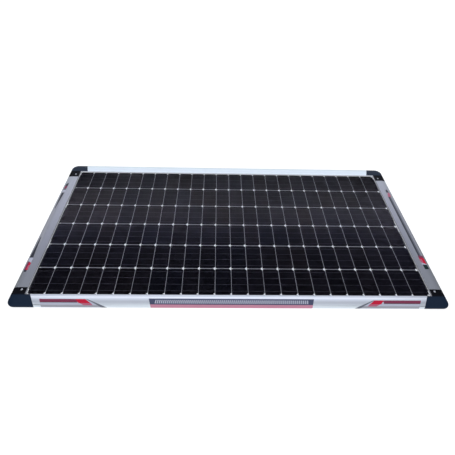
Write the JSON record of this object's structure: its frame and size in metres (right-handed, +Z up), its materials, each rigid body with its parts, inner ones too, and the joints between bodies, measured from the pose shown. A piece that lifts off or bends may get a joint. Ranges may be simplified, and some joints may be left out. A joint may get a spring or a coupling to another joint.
{
  "type": "solar panel",
  "caption": "Rigid framed solar panel for a vehicle roof: dark mono cells under glass, wide low curved silver border, black corner caps and printed side bands.",
  "frame": {"origin": "centre of the panel's outline, on the plane that its frame rests on", "axes": "+X along the long side, to the right seen from the front; +Y to the rear; +Z up, out of the glass"},
  "size_m": [2.081, 1.1084, 0.0204],
  "materials": {
    "glass": "clear tempered glass, smooth, low glare",
    "encapsulant": "clear soft EVA sheet, cured",
    "cell": "textured mono silicon, near black with a blue anti-reflection coat",
    "ribbon": "tinned copper, dull silver",
    "backsheet": "white polymer sheet, matt",
    "gasket": "pale grey rubber",
    "aluminium": "satin anodised extrusion",
    "cap": "black moulded plastic, satin to gloss",
    "key": "die cast, as cast",
    "screw": "bright stainless steel",
    "band": "printed vinyl, maroon, red and grey fields, satin",
    "box": "black moulded plastic, fine grain",
    "seal": "dark grey silicone",
    "brass": "stamped brass",
    "diode": "black epoxy body with tinned leads",
    "label": "silver grey polyester, blank"
  },
  "bodies": {
    "root": {"backsheet": "backsheet", "bypass_diode_1": "diode", "bypass_diode_2": "diode", "bypass_diode_3": "diode", "cable_gland_1": "box", "cable_gland_2": "box", "cell_string_1": "cell", "cell_string_2": "cell", "cell_string_3": "cell", "cell_string_4": "cell", "cell_string_5": "cell", "cell_string_6": "cell", "front_centre_band": "band", "front_encapsulant": "encapsulant", "front_gasket": "gasket", "front_glass": "glass", "front_left_band": "band", "front_left_corner_cap": "cap", "front_left_corner_key": "key", "front_left_corner_screw": "screw", "front_rail": "aluminium", "front_right_band": "band", "front_right_corner_cap": "cap", "front_right_corner_key": "key", "front_right_corner_screw": "screw", "gland_nut_1": "box", "gland_nut_2": "box", "junction_box_base": "box", "junction_box_bond": "seal", "junction_box_lid": "box", "junction_box_seal": "seal", "left_bus_ribbon_1": "ribbon", "left_bus_ribbon_2": "ribbon", "left_bus_ribbon_3": "ribbon", "left_gasket": "gasket", "left_rail": "aluminium", "left_side_band": "band", "rating_label": "label", "rear_encapsulant": "encapsulant", "rear_gasket": "gasket", "rear_left_corner_cap": "cap", "rear_left_corner_key": "key", "rear_left_corner_screw": "screw", "rear_rail": "aluminium", "rear_right_corner_cap": "cap", "rear_right_corner_key": "key", "rear_right_corner_screw": "screw", "ribbon_terminal_1": "brass", "ribbon_terminal_2": "brass", "ribbon_terminal_3": "brass", "ribbon_terminal_4": "brass", "right_bus_ribbon_1": "ribbon", "right_bus_ribbon_2": "ribbon", "right_bus_ribbon_3": "ribbon", "right_bus_ribbon_4": "ribbon", "right_gasket": "gasket", "right_rail": "aluminium", "right_side_band": "band"}
  },
  "joints": []
}
